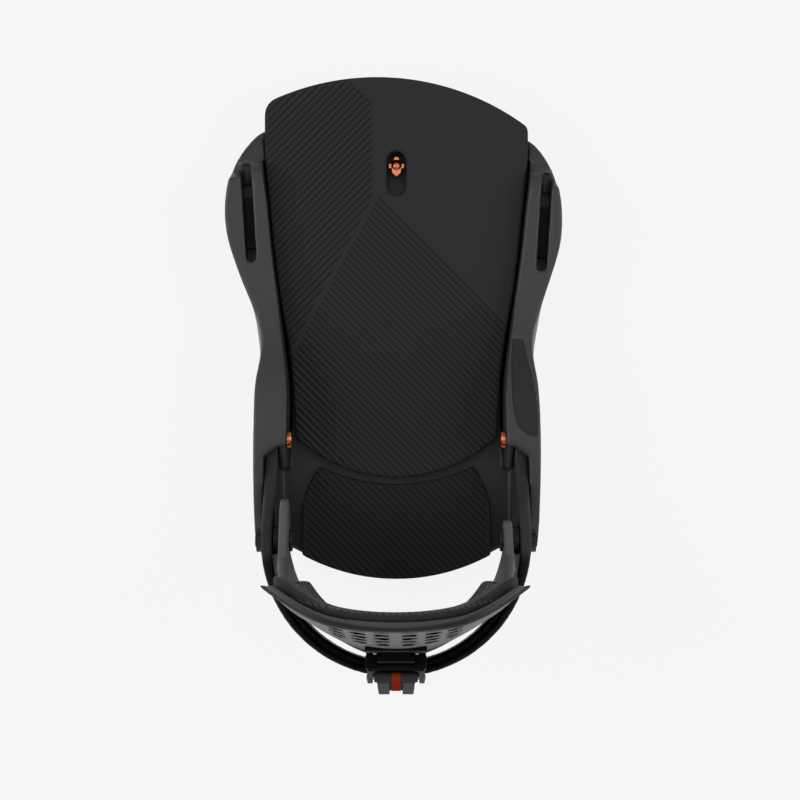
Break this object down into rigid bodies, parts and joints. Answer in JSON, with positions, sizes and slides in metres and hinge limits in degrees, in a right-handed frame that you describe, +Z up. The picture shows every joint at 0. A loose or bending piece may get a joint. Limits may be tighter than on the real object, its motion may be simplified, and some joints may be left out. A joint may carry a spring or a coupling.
{
  "type": "touring binding",
  "caption": "Right-foot splitboard touring binding without straps: base plate with foam footbed, heel hoop, folding highback, lean adjuster, toe lock and puck tracks.",
  "frame": {"origin": "middle of the footprint's bounding box, on the surface that the rubber feet stand on", "axes": "+Y to the toe, +X to the outer side of the right foot, +Z up"},
  "size_m": [0.1625, 0.2899, 0.232],
  "materials": {
    "chassis": "fine satin, glass-filled nylon",
    "trim": "soft matte",
    "foam": "matt moulded foam with fine diagonal grooves",
    "foam_heel": "matt moulded foam",
    "back": "satin",
    "pad": "fine textured padding",
    "copper": "copper-coloured anodising",
    "alloy": "dark anodised",
    "steel": "zinc-plated",
    "bushing": "plain bearing metal",
    "rubber": "matt"
  },
  "bodies": {
    "base": {"base_plate": "chassis", "rail_inlay": "trim", "footbed_tray": "trim", "tray_screws": "steel", "footbed": "foam", "heel_pad": "foam_heel", "puck_track_left": "alloy", "puck_track_right": "alloy", "track_screws": "steel", "track_feet": "rubber", "pivot_bushings": "bushing", "heel_hoop": "chassis", "hoop_liner": "rubber", "hoop_bolts": "copper", "hoop_nuts": "steel", "hinge_bolts": "alloy", "hinge_nuts": "steel", "hinge_washers": "trim", "lock_guide": "trim", "guide_screws": "steel", "lock_springs": "steel"},
    "highback": {"highback_shell": "back", "highback_pad": "pad", "lean_rack": "alloy", "rack_screws": "steel"},
    "lean_stop": {"lean_block": "trim", "lean_lever_pin": "steel"},
    "lever": {"lean_lever": "alloy", "lean_leaf": "copper"},
    "toe_catch": {"lock_catch": "alloy", "lock_thumb": "copper"},
    "anchor_left": {"strap_anchor_left": "alloy"},
    "anchor_right": {"strap_anchor_right": "alloy"}
  },
  "joints": [
    {"name": "highback_fold", "type": "hinge", "parent": "base", "child": "highback", "pos_m": [0, -0.0775, 0.072], "axis": [-1, 0, 0], "range_deg": [0, 78]},
    {"name": "lean_slide", "type": "slide", "parent": "highback", "child": "lean_stop", "axis": [0, 0.2164, 0.9763], "range_m": [0, 0.008]},
    {"name": "lean_lever_flip", "type": "hinge", "parent": "lean_stop", "child": "lever", "pos_m": [0, -0.13522, 0.10674], "axis": [-1, 0, 0], "range_deg": [0, 95]},
    {"name": "toe_catch_slide", "type": "slide", "parent": "base", "child": "toe_catch", "axis": [0, -1, 0], "range_m": [0, 0.008], "stiffness_N_per_m": 300, "springref_m": -0.006, "deforming": ["lock_springs"]},
    {"name": "strap_anchor_left_slide", "type": "slide", "parent": "base", "child": "anchor_left", "axis": [-0.0628, 0.998, 0], "range_m": [-0.006, 0.006]},
    {"name": "strap_anchor_right_slide", "type": "slide", "parent": "base", "child": "anchor_right", "axis": [0.0628, 0.998, 0], "range_m": [-0.006, 0.006]}
  ]
}
